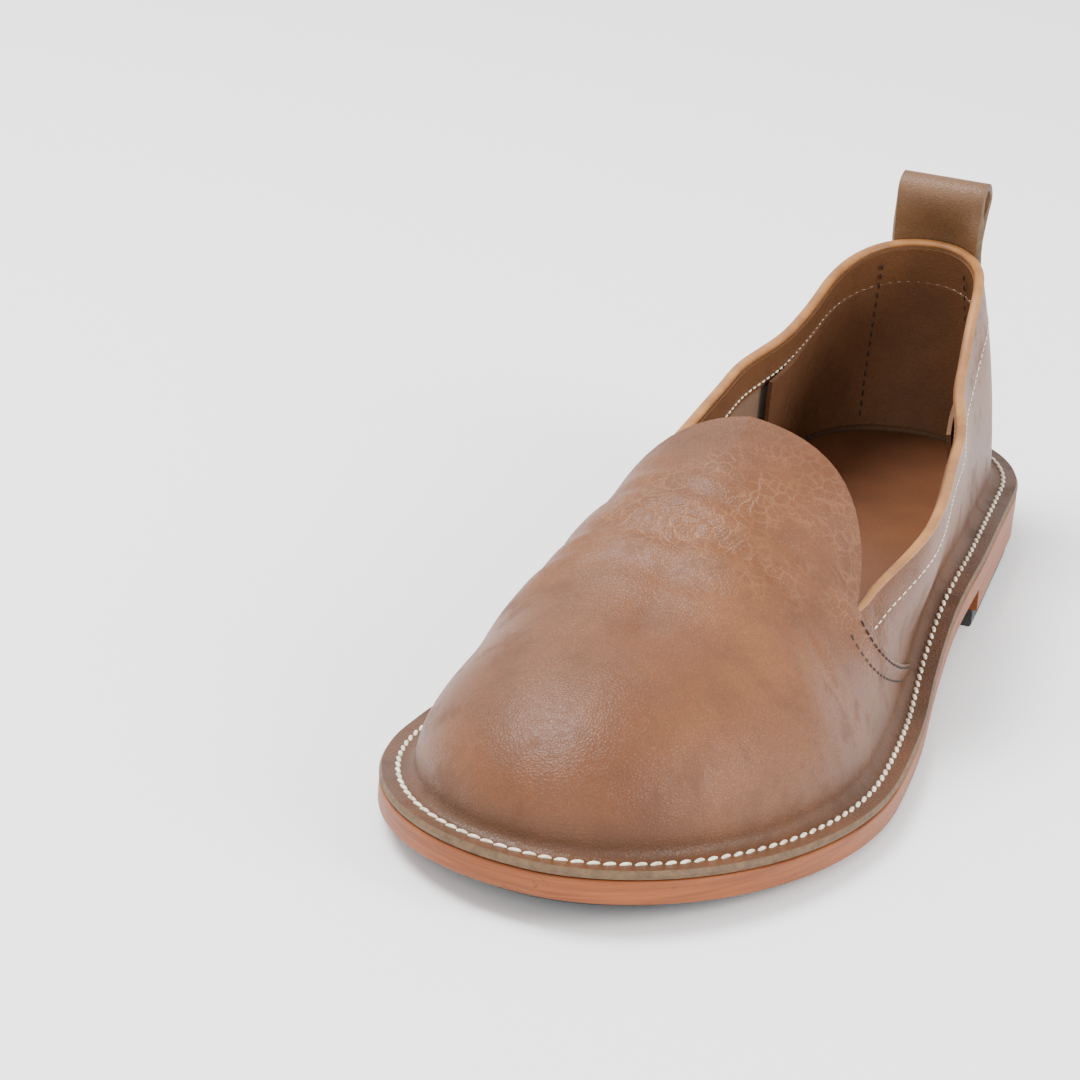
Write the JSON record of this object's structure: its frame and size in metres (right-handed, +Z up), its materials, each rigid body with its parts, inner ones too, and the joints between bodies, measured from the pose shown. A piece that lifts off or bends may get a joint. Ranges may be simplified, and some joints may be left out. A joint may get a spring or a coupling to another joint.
{
  "type": "slip-on shoe",
  "caption": "Left slip-on shoe in waxed leather with a rounded tongue, stitched-down leather sole and a heel pull loop; worn on the foot.",
  "frame": {"origin": "on the floor under the middle of the sole's box", "axes": "+Y towards the toe, +X towards the inner side of the foot, +Z up"},
  "size_m": [0.1072, 0.302, 0.0923],
  "materials": {
    "upper_leather": "waxed, satin",
    "strip_leather": "waxed, matt",
    "insole_leather": "smooth, satin",
    "sole_leather": "burnished edge",
    "rubber": "matt"
  },
  "bodies": {
    "root": {"upper": "upper_leather", "heel_strip": "strip_leather", "insole": "insole_leather", "outsole": "sole_leather", "heel_lift": "sole_leather", "heel_top_piece": "rubber", "forefoot_rubber": "rubber"}
  },
  "joints": []
}
